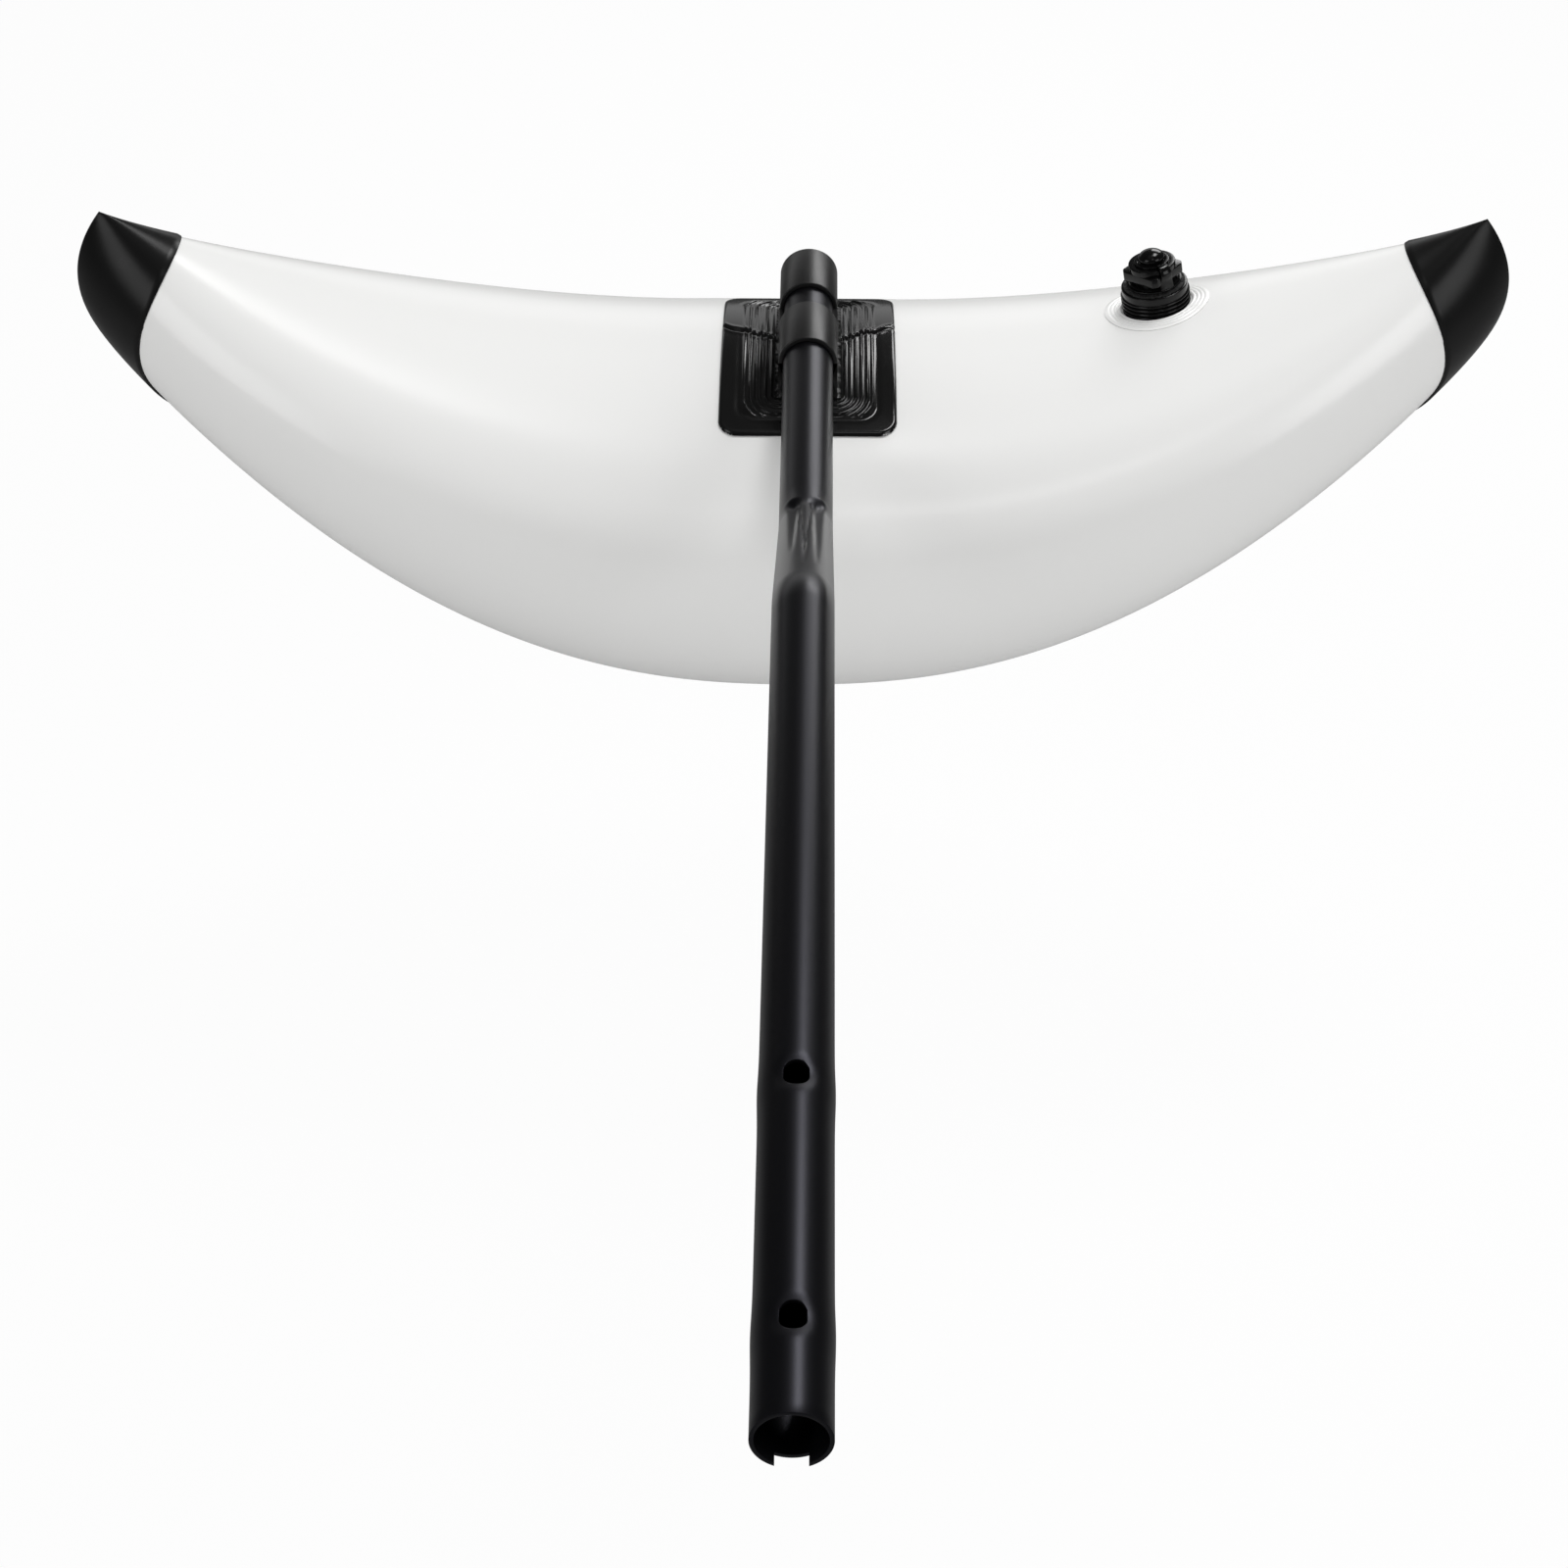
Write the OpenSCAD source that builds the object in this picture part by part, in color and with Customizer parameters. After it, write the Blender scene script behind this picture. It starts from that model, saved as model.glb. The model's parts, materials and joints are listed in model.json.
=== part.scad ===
// Kayak outrigger: an inflated float carried on a cranked arm tube.
// The origin is the middle of the arm's open end, at the kayak.
// +Y runs along the arm to the float, +X along the float, +Z up.

/* [Arm] */
// Outside diameter of the arm tube
tube_d = 32; // [28:0.5:38]
// Wall of the arm tube
tube_wall = 1.8; // [1.2:0.1:2.5]
// Length of the outer run, from the kayak end to the first bend
run_out = 537; // [400:1:700]
// Length along Y of the sloping run between the bends
slope_run = 235; // [160:1:320]
// Drop of the float end below the kayak end
slope_drop = 110; // [60:1:150]
// Radius of both bends, at the middle of the tube
bend_r = 60; // [45:1:90]
// Gap left between the end of the arm and the back of the sleeve
end_inset = 5; // [0:1:20]

/* [Arm end] */
// Distance from the end to the middle of the first button slot
slot_1 = 48; // [35:1:70]
// Distance between the two button slots
slot_pitch = 132; // [90:1:180]
// Width of a button slot
slot_w = 11; // [8:0.5:12]
// Length of a button slot
slot_l = 14.5; // [13:0.5:18]
// Depth of the pressed dimple round each slot
dimple = 1.2; // [0.4:0.1:1.6]
// Width of the locating notch
notch_w = 13; // [8:0.5:18]
// Depth of the locating notch along the tube
notch_l = 5; // [3:0.5:10]

/* [Float] */
// Length of the deck line between its two upper corners
deck_l = 886; // [700:2:1100]
// Length of the keel line between its two lower corners
keel_l = 836; // [640:2:1050]
// Width of the float at the middle
float_w = 306; // [240:2:360]
// Depth of the float at the middle
float_h = 239; // [190:1:290]
// Rise of the deck from the middle to the tips
deck_rise = 96; // [50:1:140]
// Rise of the keel from the middle to the tips
keel_rise = 208; // [140:1:260]
// Forward bulge of each stem
stem_bulge = 32; // [10:1:45]
// Share of the depth that lies above the widest line
deck_share = 0.34; // [0.28:0.01:0.45]
// Distance of the float's middle from the arm's line, along the float
float_x = -11; // [-20:1:0]
// Length of the straight deck under the mounting pad
flat_l = 142; // [140:1:170]
// Thickness of the coated fabric
skin = 1.2; // [0.8:0.1:2]
// Half thickness of the welded stem seam
stem_half = 1.5; // [1:0.1:2.5]
// Length of each end cap along the deck
cap_l = 48; // [30:1:80]
// Thickness of the end caps
cap_t = 1.2; // [0.8:0.1:2]

/* [Sleeve] */
// Running clearance between the arm and the sleeve, on the radius
sleeve_gap = 0.1; // [0.05:0.05:0.3]
// Wall of the sleeve
sleeve_wall = 2.9; // [2:0.1:5]
// Length of the sleeve
sleeve_l = 118; // [90:1:124]
// Length of the open window between the two bands
window_l = 24; // [10:1:40]
// Rounding of the bands' outer rims
rim_r = 0.8; // [0.3:0.1:1.2]
// Width of the weld flange on each side of the sleeve
foot_w = 2.4; // [1.5:0.1:3]
// Thickness of the weld flange
foot_t = 1.4; // [0.8:0.1:2]

/* [Mounting pad] */
// Width of the pad along the float
pad_w = 115; // [104:1:120]
// Length of the pad along the arm
pad_l = 175; // [160:1:190]
// Thickness of the pad
pad_t = 2.2; // [1.5:0.1:3]
// Corner radius of the pad
pad_r = 12; // [6:1:20]
// Number of nested ridges round the sleeve
ridge_n = 6; // [3:1:6]
// Distance from one ridge to the next
ridge_pitch = 4; // [3:0.1:4.4]
// Width of a ridge
ridge_w = 1.8; // [1.2:0.1:2.2]
// Height of a ridge
ridge_h = 1.2; // [0.6:0.1:2]
// Depth of the fold that crosses the pad at the deck's crown
fold_depth = 1.5; // [0.5:0.1:1.9]
// Depth of cushion between the sleeve's bore and the pad
bed = 4.4; // [3:0.1:8]

/* [Valve] */
// Distance of the valve from the middle of the float
valve_x = 241; // [190:1:290]
// Distance of the valve behind the deck's middle line
valve_y = 24; // [0:1:30]
// Lean of the valve towards the middle of the float
valve_lean = 10; // [4:1:16]
// Outside diameter of the valve boot at its foot
boot_d = 45.4; // [42:0.2:54]
// Height of the boot above the deck
boot_h = 16; // [13:0.5:20]
// Number of ribs round the boot
rib_n = 4; // [2:1:4]
// Outside diameter of the insert's threaded barrel
barrel_d = 28; // [24:0.5:30]
// Width across the flats of the insert's grip
grip_w = 30; // [29:0.5:34]
// Thickness of the grip
grip_t = 6.5; // [3:0.5:8]
// Diameter of the insert's top disc
disc_d = 30.8; // [28:0.2:32]
// Diameter of the plug's shank
shank_d = 15.7; // [13:0.1:17]
// Diameter of the plug's domed head
dome_d = 18.8; // [18:0.2:19.6]
// Rise of the plug's domed head
dome_h = 4.6; // [2:0.1:6]
// Diameter of the welded patch round the valve
patch_d = 69; // [62:1:80]

/* [Hidden] */
$fn = 64;

eps = 0.01;
// Clearance between soft pieces that lie on each other
lay = 0.3;

// Arm: the bends turn through the slope's own angle
tube_r = tube_d / 2;
slope_a = atan(slope_drop / slope_run);
bend_in = bend_r * tan(slope_a / 2);
slope_l = sqrt(slope_run * slope_run + slope_drop * slope_drop);
second_bend = run_out + slope_run;
// The bends swell by this much on the radius
bend_step = 0.1;
// Straight runs reach this far into the bends
lap = 0.05;

// Sleeve: it is centred on the float, and the arm's inner run reaches into it
arm_reach = 251;
float_y = second_bend + arm_reach;
bore_r = tube_r + sleeve_gap;
sleeve_r = bore_r + sleeve_wall;
arm_end = float_y + sleeve_l / 2 - end_inset;

// Deck: the pad lies on it, and the sleeve on the pad
deck_z = -slope_drop - bore_r - bed - pad_t - lay;
keel_z = deck_z - float_h;
half_w = float_w / 2;
deck_half = deck_l / 2;
keel_half = keel_l / 2;
flat_s = flat_l / deck_l;

// Curves of the float along its length, where s runs from -1 to 1
deck_power = 1.86;
keel_power = 2.26;
plan_power = 2.47;
plan_round = 0.9;
lines_n = 48;
round_n = 16;

// Radius of the deck's crown across the float, from its half width and height
crown_r = 0.97 * half_w * half_w / (deck_share * float_h);
pad_axis_z = deck_z + lay - crown_r;

function past_flat(s) = max(0, (abs(s) - flat_s) / (1 - flat_s));
function deck_at(s) = deck_z + deck_rise * pow(past_flat(s), deck_power);
function keel_at(s) = keel_z + keel_rise * pow(abs(s), keel_power);
function half_at(s) = half_w * pow(max(0, 1 - pow(abs(s), plan_power)), plan_round) + stem_half;

// Share of the depth at angle t round the section, 0 at the deck and 180 at the keel
function depth_at(t) = let (c = cos(t))
    t <= 90 ? deck_share * (1 - c) : deck_share - (1 - deck_share) * c;

// A point of the float's surface, grown outward by g
function float_point(s, t, g) =
    let (u = depth_at(abs(t)),
         top = deck_at(s) + g,
         foot = keel_at(s) - g,
         bulge = 4 * stem_bulge * pow(abs(s), 3) * u * (1 - u),
         tip = g * pow(abs(s), 12),
         x = abs(s) * (deck_half + (keel_half - deck_half) * u) + bulge + tip)
    [float_x + sign(s) * x, float_y + sin(t) * (half_at(s) + g), top + (foot - top) * u];

// Share of the depth at which the section at s is y wide on one side
function crown_share(s, y) = let (w = half_at(s)) deck_share * (1 - sqrt(1 - y * y / (w * w)));

// Height of the deck near its middle line, at x and y measured from the float's middle
function deck_height(x, y) =
    let (first = x / deck_half,
         v = crown_share(first, y),
         s = (x - 4 * stem_bulge * pow(first, 3) * v * (1 - v)) / (deck_half + (keel_half - deck_half) * v))
    deck_at(s) - (deck_at(s) - keel_at(s)) * crown_share(s, y);

// Two triangles for the square with corners a, b, c, d
function square_faces(a, b, c, d) = [[a, b, c], [a, c, d]];
function joined(lists) = [for (l = lists) each l];

// One bend of the arm's route, between two angles of its circle
module bend(r, from) {
    rotate([90, 0, 90]) rotate([0, 0, from]) rotate_extrude(angle = slope_a)
        translate([bend_r, 0]) circle(r + bend_step);
}

// Solid of the arm's route with radius r, which starts at the Y given
module arm_run(r, start) {
    translate([0, start, 0]) rotate([-90, 0, 0]) cylinder(r = r, h = run_out - bend_in - start + lap);
    translate([0, run_out - bend_in, -bend_r]) bend(r, 90 - slope_a);
    translate([0, run_out, 0]) rotate([-90 - slope_a, 0, 0]) translate([0, 0, bend_in - lap])
        cylinder(r = r, h = slope_l - 2 * (bend_in - lap));
    translate([0, second_bend + bend_in, bend_r - slope_drop]) bend(r, 270 - slope_a);
    translate([0, second_bend + bend_in - lap, -slope_drop]) rotate([-90, 0, 0])
        cylinder(r = r, h = arm_end - second_bend - bend_in + lap);
}

// A straight-sided slot with round ends along Y, cut downward
module slot_cut(w, l, h) {
    linear_extrude(h) {
        square([w, l - w], center = true);
        for (side = [-1, 1]) translate([0, side * (l - w) / 2]) circle(d = w);
    }
}

// The flutes that bending presses into the slope's upper side, deepest at the second bend
module bend_flutes() {
    flute_r = 3.4;
    flute_depth = 1.1;
    flute_l = 130;
    fade = atan(flute_depth / flute_l);
    translate([0, second_bend, -slope_drop]) rotate([-slope_a, 0, 0]) for (side = [-1, 0, 1])
        rotate([0, side * 26, 0]) translate([0, -14, tube_r + flute_r - flute_depth])
            rotate([90 + fade, 0, 0]) {
                cylinder(r = flute_r, h = flute_l * (side == 0 ? 1.25 : 1));
                sphere(flute_r);
            }
}

module arm_tube() {
    dish_r = 26;
    dish_z = tube_r - dimple;
    color("#151516") difference() {
        union() {
            difference() {
                arm_run(tube_r, 0);
                arm_run(tube_r - tube_wall, -1);
                translate([0, arm_end - 1, -slope_drop]) rotate([-90, 0, 0])
                    cylinder(r = tube_r - tube_wall, h = 2);
            }
            for (i = [0, 1]) translate([0, slot_1 + i * slot_pitch, 0]) intersection() {
                rotate([90, 0, 0]) cylinder(r = tube_r - eps, h = 4 * slot_w, center = true);
                translate([0, 0, dish_z + dish_r]) sphere(dish_r + tube_wall);
            }
        }
        for (i = [0, 1]) translate([0, slot_1 + i * slot_pitch, 0]) {
            translate([0, 0, dish_z + dish_r]) sphere(dish_r);
            slot_cut(slot_w, slot_l, tube_d);
        }
        translate([-notch_w / 2, -1, -tube_d]) cube([notch_w, notch_l + 1, tube_d]);
        bend_flutes();
    }
}

// Rounded rectangle made of two squares and four corner circles
module round_rect(w, l, r) {
    square([w - 2 * r, l], center = true);
    square([w, l - 2 * r], center = true);
    for (x = [-1, 1]) for (y = [-1, 1])
        translate([x * (w / 2 - r), y * (l / 2 - r)]) circle(r);
}

// Solid cylinder along X that follows the deck's crown at radius r
module crown(r) {
    translate([0, float_y, pad_axis_z]) rotate([0, 90, 0])
        cylinder(r = r, h = 2 * pad_w, center = true, $fn = 200);
}

// The stretch of a crown shell, from radius r0 to r1, inside the outline given
module crown_sheet(r0, r1) {
    difference() {
        intersection() {
            crown(r1);
            translate([0, float_y, deck_z - 40]) linear_extrude(80) children();
        }
        crown(r0);
    }
}

module mount_pad() {
    top = crown_r + pad_t;
    color("#1b1b1d") difference() {
        pad_and_ridges(top);
        translate([-pad_w, float_y, deck_z + lay + pad_t - fold_depth]) rotate([45, 0, 0])
            cube([2 * pad_w, 20, 20]);
    }
}

module pad_and_ridges(top) {
    union() {
        crown_sheet(crown_r, top) round_rect(pad_w, pad_l, pad_r);
        for (i = [0 : ridge_n - 1]) {
            off = foot_w + 1 + ridge_pitch * i;
            w = 2 * (sleeve_r + off + ridge_w);
            l = sleeve_l + 2 * (off + ridge_w) - 2 * foot_w;
            r = 3 + ridge_pitch * i;
            crown_sheet(top - 0.5, top + ridge_h) difference() {
                round_rect(w, l, r);
                round_rect(w - 2 * ridge_w, l - 2 * ridge_w, r - ridge_w / 2);
            }
        }
    }
}

module sleeve_cradle() {
    top = crown_r + pad_t;
    color("#161617") difference() {
        union() {
            translate([-sleeve_r, float_y - sleeve_l / 2, -slope_drop - 2 * sleeve_r])
                cube([2 * sleeve_r, sleeve_l, 2 * sleeve_r]);
            crown_sheet(top - 1, top + foot_t)
                square([2 * (sleeve_r + foot_w), sleeve_l], center = true);
        }
        crown(top + eps);
        translate([0, float_y, -slope_drop]) rotate([90, 0, 0])
            cylinder(r = bore_r, h = 2 * sleeve_l, center = true);
    }
}

// Half ring that closes over the arm, from y0 to y0 + l
module band(y0, l) {
    color("#19191a") translate([0, y0 + l, -slope_drop + eps]) rotate([90, 0, 0])
        rotate_extrude(angle = 180) difference() {
            translate([bore_r, 0]) square([sleeve_wall, l]);
            for (end = [0, 1]) translate([sleeve_r, end * l]) difference() {
                square(2 * rim_r, center = true);
                translate([-rim_r, (1 - 2 * end) * rim_r]) circle(rim_r);
            }
        }
}

band_l = (sleeve_l - window_l) / 2;
module band_front() band(float_y - sleeve_l / 2, band_l);
module band_rear() band(float_y + sleeve_l / 2 - band_l, band_l);

// Closed lid between angles -90 and 90 of the section when up is 1, or its lower half when up is -1
module float_shell(up) {
    inner_end = 0.985;
    function angle(j) = up > 0 ? -90 + 180 * j / round_n : -90 - 180 * j / round_n;
    function wrapped(t) = t < -180 ? t + 360 : t;
    function level(k, i) = sin(180 * i / lines_n - 90) * (k == 0 ? 1 : inner_end);
    row = round_n + 1;
    side = (lines_n + 1) * row;
    gap = eps / 2;
    points = [for (k = [0, 1]) for (i = [0 : lines_n]) for (j = [0 : round_n])
        let (p = float_point(level(k, i), wrapped(angle(j)), -k * skin))
        (j == 0 || j == round_n) ? [p[0], p[1], p[2] + up * gap] : p];
    function at(k, i, j) = k * side + i * row + j;
    walls = [for (k = [0, 1]) for (i = [0 : lines_n - 1]) for (j = [0 : round_n - 1])
        let (a = at(k, i, j), b = at(k, i, j + 1), c = at(k, i + 1, j + 1), d = at(k, i + 1, j))
        each [for (f = i < lines_n / 2 ? square_faces(b, a, d, c) : square_faces(a, d, c, b))
            (k == 0) == (up > 0) ? f : [f[2], f[1], f[0]]]];
    half = round_n / 2;
    ends = [for (k = [0, 1]) for (i = [0, lines_n]) for (j = [0 : half - 1])
        let (a = at(k, i, j), b = at(k, i, j + 1), c = at(k, i, round_n - j - 1),
             d = at(k, i, round_n - j), turn = ((k == 0) == (i == 0)) == (up > 0),
             low = j == half - 1 ? [[a, b, d]] : square_faces(a, b, c, d))
        each [for (f = low) turn ? f : [f[2], f[1], f[0]]]];
    rims = [for (i = [0 : lines_n - 1]) for (j = [0, round_n])
        let (a = at(0, i, j), b = at(0, i + 1, j), c = at(1, i + 1, j), d = at(1, i, j),
             turn = (j == 0) == (up > 0))
        each turn ? square_faces(a, d, c, b) : square_faces(a, b, c, d)];
    heels = [for (i = [0, lines_n])
        let (a = at(0, i, 0), b = at(0, i, round_n), c = at(1, i, round_n), d = at(1, i, 0),
             turn = (i == 0) == (up > 0))
        each turn ? square_faces(a, b, c, d) : square_faces(d, c, b, a)];
    polyhedron(points, joined([walls, ends, rims, heels]));
}

// Places its children on the deck at the valve, leaning with it
module at_valve() {
    translate([float_x + valve_x, float_y + valve_y, deck_height(valve_x, valve_y)])
        rotate([0, -valve_lean, 0]) children();
}

hole_gap = 0.6;
boot_r = boot_d / 2;

module deck_panel() color("#f4f4f2") difference() {
    float_shell(1);
    at_valve() cylinder(r = boot_r + hole_gap, h = 40, center = true);
}

module hull_panel() color("#e6e6e6") float_shell(-1);

// Shell over one tip: its free edge runs back along the deck and ends at the keel
module end_cap(side) {
    steps = 8;
    ring = 2 * round_n;
    first = 1 - cap_l / deck_half;
    heel = 0.962;
    function angle(j) = -180 + 360 * j / ring;
    function edge(t) = first + (heel - first) * depth_at(abs(t));
    function level(k, i, t) = let (e = edge(t) + k * eps) e + (1 - e) * sin(90 * i / steps);
    layer = (steps + 1) * ring;
    points = [for (k = [0, 1]) for (i = [0 : steps]) for (j = [0 : ring - 1])
        float_point(side * level(k, i, angle(j)), angle(j), lay + (1 - k) * cap_t)];
    function at(k, i, j) = k * layer + i * ring + j % ring;
    walls = [for (k = [0, 1]) for (i = [0 : steps - 1]) for (j = [0 : ring - 1])
        let (a = at(k, i, j), b = at(k, i, j + 1), c = at(k, i + 1, j + 1), d = at(k, i + 1, j))
        each (k == 0) == (side > 0) ? square_faces(a, b, c, d) : square_faces(a, d, c, b)];
    half = ring / 2;
    ends = [for (k = [0, 1]) for (j = [0 : half - 1])
        let (a = at(k, steps, j), b = at(k, steps, j + 1), c = at(k, steps, ring - j - 1),
             d = at(k, steps, ring - j),
             faces = j == 0 ? [[a, b, c]] : j == half - 1 ? [[a, b, d]] : square_faces(a, b, c, d),
             turn = (k == 0) == (side > 0))
        each [for (f = faces) turn ? f : [f[2], f[1], f[0]]]];
    lip = [for (j = [0 : ring - 1])
        let (a = at(0, 0, j), b = at(0, 0, j + 1), c = at(1, 0, j + 1), d = at(1, 0, j))
        each side > 0 ? square_faces(d, c, b, a) : square_faces(a, b, c, d)];
    color("#161616") polyhedron(points, joined([walls, ends, lip]));
}

module end_cap_left() end_cap(-1);
module end_cap_right() end_cap(1);

// Ring that follows the deck round the valve, between the radii of its profile's first and last points
// A profile point is [radius, height above the deck]; under is the height of the lower side
module deck_ring(profile, under) {
    turns = 32;
    n = len(profile);
    function place(r, a, h) =
        let (x = valve_x + r * cos(a) * cos(valve_lean), y = valve_y + r * sin(a))
        [float_x + x, float_y + y, deck_height(x, y) + h];
    points = [for (k = [0, 1]) for (p = profile) for (j = [0 : turns - 1])
        place(p[0], 360 * j / turns, k == 0 ? p[1] : under)];
    function at(k, i, j) = (k * n + i) * turns + j % turns;
    walls = [for (k = [0, 1]) for (i = [0 : n - 2]) for (j = [0 : turns - 1])
        let (a = at(k, i, j), b = at(k, i, j + 1), c = at(k, i + 1, j + 1), d = at(k, i + 1, j))
        each k == 0 ? square_faces(a, b, c, d) : square_faces(a, d, c, b)];
    rims = [for (i = [0, n - 1]) for (j = [0 : turns - 1])
        let (a = at(0, i, j), b = at(0, i, j + 1), c = at(1, i, j + 1), d = at(1, i, j))
        each i == 0 ? square_faces(d, c, b, a) : square_faces(a, b, c, d)];
    polyhedron(points, joined([walls, rims]));
}

ripple_n = 4;
module valve_patch() {
    inner = boot_r + hole_gap;
    pitch = (patch_d / 2 - inner - 1) / (ripple_n - 0.5);
    ripples = [for (i = [0 : ripple_n - 1])
        each [[inner + i * pitch, lay + 1.4], [inner + (i + 0.5) * pitch, lay + 0.8]]];
    color("#f6f6f4") deck_ring(concat(ripples, [[patch_d / 2, lay + 0.5]]), lay);
}

flange_d = 66;
flange_t = 1.6;
module valve_flange() {
    top = -skin - 2 * lay;
    color("#d8d8d6") deck_ring([[boot_r + hole_gap, top], [flange_d / 2, top]], top - flange_t);
}

// Stack of the valve along its axis, measured from the deck
barrel_r = barrel_d / 2;
thread_gap = 0.15;
boot_foot = -6;
gasket_t = 1.2;
neck_z = boot_h + gasket_t;
neck_h = 5;
grip_z = neck_z + neck_h;
disc_z = grip_z + grip_t;
disc_t = 3.5;
seat_z = disc_z + disc_t;
grip_corner = 20.5;
neck_r = barrel_r + 2.5;
shank_r = shank_d / 2;
shank_l = 8;
plug_gap = 0.1;
plug_neck_r = dome_d / 2 - 0.8;
plug_neck_h = 2.6;

module valve_boot() {
    rib_pitch = (boot_h - 5) / rib_n;
    rib_depth = 1;
    top_r = boot_r - 0.9;
    wall_top = boot_h - 0.6;
    outline = concat(
        [[barrel_r + thread_gap, boot_foot], [boot_r - 0.2, boot_foot], [boot_r - 0.2, 0]],
        [for (i = [0 : rib_n - 1]) let (z = i * rib_pitch)
            each [[boot_r, z + 0.3], [boot_r, z + rib_pitch - 1], [boot_r - rib_depth, z + rib_pitch - 0.7],
                  [boot_r - rib_depth, z + rib_pitch - 0.2]]],
        [[top_r, rib_n * rib_pitch + 0.3], [top_r, wall_top], [top_r - 0.6, boot_h],
         [barrel_r + thread_gap, boot_h]]);
    color("#141414") at_valve() rotate_extrude() polygon(outline);
}

module insert_gasket() {
    color("#2a2a2a") at_valve() translate([0, 0, boot_h + eps]) difference() {
        cylinder(r = boot_r - 2.4, h = gasket_t - 2 * eps);
        translate([0, 0, -1]) cylinder(r = barrel_r + thread_gap, h = gasket_t + 2);
    }
}

insert_foot = -4;
module valve_insert() {
    bar_w = 3;
    hub_r = 3;
    stud_hole_r = 1.3;
    web_t = 1.6;
    color("#121212") at_valve() difference() {
        union() {
            translate([0, 0, insert_foot]) cylinder(r = barrel_r, h = neck_z - insert_foot);
            translate([0, 0, neck_z]) cylinder(r = neck_r, h = neck_h);
            translate([0, 0, grip_z]) intersection() {
                rotate([0, 0, 45]) translate([-grip_w / 2, -grip_w / 2, 0]) cube([grip_w, grip_w, grip_t]);
                cylinder(r = grip_corner, h = grip_t);
            }
            translate([0, 0, disc_z]) cylinder(d = disc_d, h = disc_t);
        }
        difference() {
            translate([0, 0, insert_foot - 1]) cylinder(r = barrel_r - 3.4, h = seat_z - insert_foot - shank_l - 1);
            translate([0, 0, insert_foot]) {
                cylinder(r = hub_r, h = web_t);
                for (a = [0, 60, 120]) rotate([0, 0, a])
                    translate([-barrel_r, -bar_w / 2, 0]) cube([barrel_d, bar_w, web_t]);
            }
        }
        translate([0, 0, insert_foot - 1]) cylinder(r = stud_hole_r, h = web_t + 2);
        translate([0, 0, seat_z - shank_l - 3]) cylinder(r = shank_r + plug_gap, h = shank_l + 4);
    }
}

flap_t = 1;
module flap() {
    color("#3a3a3a") at_valve() translate([0, 0, insert_foot - flap_t - eps]) difference() {
        cylinder(r = barrel_r - 1.2, h = flap_t);
        translate([0, 0, -1]) cylinder(r = 1.25, h = flap_t + 2);
    }
}

module flap_stud() {
    head_r = 2.6;
    under = insert_foot - flap_t - 2 * eps;
    over = insert_foot + 1.6 + eps;
    color("#222222") at_valve() rotate_extrude() polygon([
        [0, under - 1.4], [head_r - 0.8, under - 1.4], [head_r, under - 0.6], [head_r, under],
        [1.2, under], [1.2, over], [1.9, over], [1.9, over + 0.5], [0.8, over + 1.8], [0, over + 1.8]]);
}

seal_r = 0.9;
module plug_cap() {
    dome_z = seat_z + plug_neck_h;
    half = dome_d / 2;
    dome_r = (half * half + dome_h * dome_h) / (2 * dome_h);
    color("#171718") at_valve() difference() {
        union() {
            translate([0, 0, seat_z - shank_l + 0.5]) cylinder(r = shank_r, h = shank_l);
            translate([0, 0, seat_z + eps]) cylinder(r1 = plug_neck_r + 0.6, r2 = plug_neck_r, h = plug_neck_h);
            translate([0, 0, dome_z]) cylinder(r = half, h = 1);
            translate([0, 0, dome_z + 1]) intersection() {
                translate([0, 0, dome_h - dome_r]) sphere(dome_r);
                cylinder(r = half, h = dome_h);
            }
        }
        translate([0, 0, seat_z - shank_l / 2]) rotate_extrude() translate([shank_r, 0])
            square(2 * seal_r, center = true);
    }
}

module plug_seal() {
    color("#303030") at_valve() translate([0, 0, seat_z - shank_l / 2]) rotate_extrude()
        translate([shank_r - seal_r + 0.1 + 0.4, 0]) circle(0.45);
}

// Strap from a ring round the plug's neck, over the disc and down to a ring round the insert's neck
module cap_tether() {
    strap_w = 8;
    strap_t = 1.3;
    ring_w = 2.4;
    azimuth = -52;
    upper_in = plug_neck_r + 0.9;
    lower_in = neck_r + 0.1;
    drop_r = max(grip_w / 2 / cos(45 + azimuth) + 1.2, disc_d / 2 + 0.5, neck_r + 0.3);
    lower_z = neck_z + 0.4;
    upper_z = seat_z + eps;
    reach = drop_r + strap_t;
    color("#101010") at_valve() difference() {
        union() {
            translate([0, 0, upper_z]) cylinder(r = upper_in + ring_w, h = strap_t);
            translate([0, 0, lower_z]) cylinder(r = lower_in + ring_w, h = strap_t);
            rotate([0, 0, azimuth]) {
                translate([upper_in + 1, -strap_w / 2, upper_z]) cube([reach - upper_in - 1, strap_w, strap_t]);
                translate([drop_r, -strap_w / 2, lower_z + strap_t / 2])
                    cube([strap_t, strap_w, upper_z - lower_z + strap_t / 2]);
            }
        }
        translate([0, 0, upper_z - 1]) cylinder(r = upper_in, h = strap_t + 2);
        translate([0, 0, lower_z - 1]) cylinder(r = lower_in, h = strap_t + 2);
    }
}

arm_tube();
sleeve_cradle();
band_front();
band_rear();
mount_pad();
deck_panel();
hull_panel();
end_cap_left();
end_cap_right();
valve_patch();
valve_flange();
valve_boot();
insert_gasket();
valve_insert();
flap();
flap_stud();
plug_cap();
plug_seal();
cap_tether();
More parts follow.
